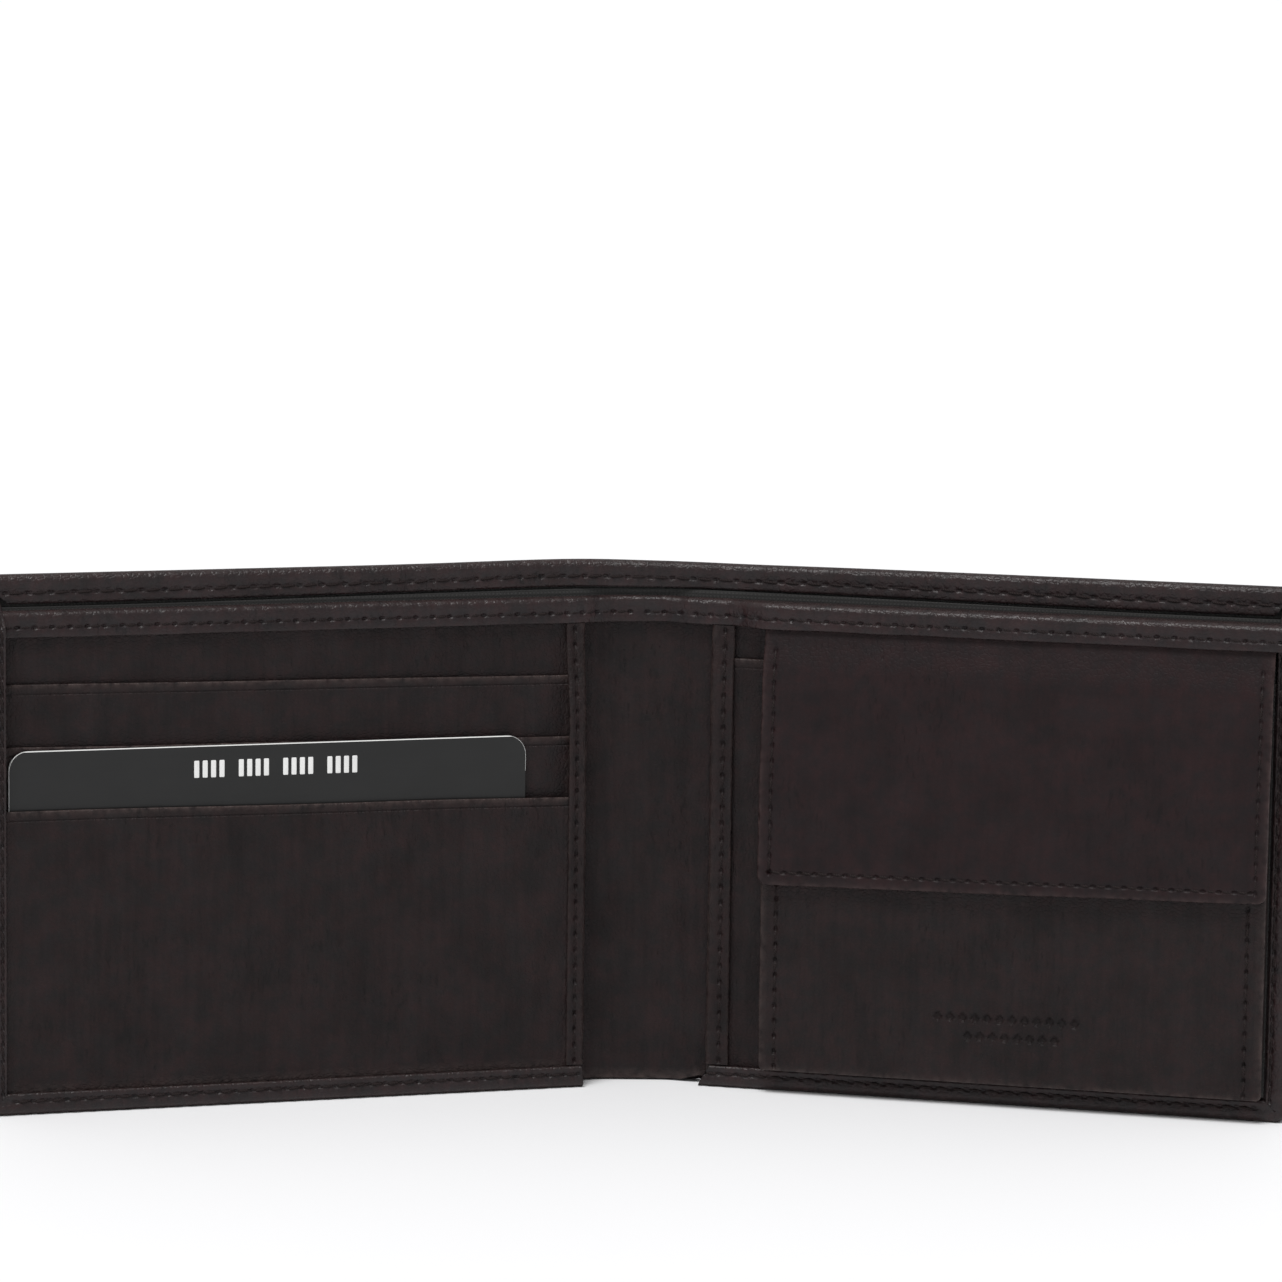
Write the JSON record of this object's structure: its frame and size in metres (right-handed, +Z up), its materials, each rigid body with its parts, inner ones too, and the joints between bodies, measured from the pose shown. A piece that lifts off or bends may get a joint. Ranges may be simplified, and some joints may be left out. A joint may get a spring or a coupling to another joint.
{
  "type": "bifold wallet",
  "caption": "Leather bifold wallet standing half open: stepped card pockets on one wing, a flapped coin pouch on the other and a divided banknote compartment behind both.",
  "frame": {"origin": "middle of the base of the half-open wallet, on the surface that it stands on", "axes": "+Z up along the spine, +X from the card wing to the coin wing, +Y out of the back of the spine; the inside of the wallet faces -Y"},
  "size_m": [0.2132, 0.0354, 0.087],
  "materials": {
    "cover_leather": "fine grained dark brown leather, semi-matte",
    "inner_leather": "smooth dark brown leather with a fine grain, semi-matte",
    "flap_leather": "smooth dark brown leather with a fine grain, semi-matte",
    "lining": "thin grey-brown woven lining",
    "card_plastic": "dark grey satin card with a pale edge",
    "snap_steel": "plated steel"
  },
  "bodies": {
    "spine": {"spine_cover": "cover_leather", "spine_note_lining": "lining", "spine_note_divider": "lining", "spine_inner_wall": "inner_leather", "spine_top_band": "inner_leather"},
    "left_wing": {"left_cover": "cover_leather", "left_note_lining": "lining", "left_note_divider": "lining", "left_inner_wall": "inner_leather", "left_top_band": "inner_leather", "left_backing": "inner_leather", "card_pocket_upper": "inner_leather", "card_pocket_middle": "inner_leather", "card_pocket_lower": "inner_leather", "left_edge_strip": "inner_leather"},
    "card": {"card": "card_plastic"},
    "right_wing": {"right_cover": "cover_leather", "right_note_lining": "lining", "right_note_divider": "lining", "right_inner_wall": "inner_leather", "right_top_band": "inner_leather", "right_backing": "inner_leather", "slip_pocket": "inner_leather", "right_edge_strip": "inner_leather", "pouch_back": "lining", "pouch_gusset_inner": "inner_leather", "pouch_gusset_outer": "inner_leather", "pouch_gusset_bottom": "inner_leather", "pouch_front_lining": "lining", "pouch_front": "inner_leather", "snap_stud": "snap_steel", "flap_root": "flap_leather"},
    "coin_flap": {"flap": "flap_leather", "flap_lining": "lining", "snap_socket": "snap_steel", "snap_cap": "snap_steel"}
  },
  "joints": [
    {"name": "left_fold", "type": "hinge", "parent": "spine", "child": "left_wing", "pos_m": [-0.0083, 0.0167, 0], "axis": [0, 0, 1], "range_deg": [-15, 75]},
    {"name": "right_fold", "type": "hinge", "parent": "spine", "child": "right_wing", "pos_m": [0.0083, 0.0167, 0], "axis": [0, 0, -1], "range_deg": [-15, 75]},
    {"name": "flap_hinge", "type": "hinge", "parent": "right_wing", "child": "coin_flap", "pos_m": [0.06022, -0.00591, 0.0764], "axis": [-0.9659, 0.2588, 0], "range_deg": [0, 175]},
    {"name": "card_slide", "type": "slide", "parent": "left_wing", "child": "card", "axis": [0, 0, 1], "range_m": [0, 0.04]}
  ]
}
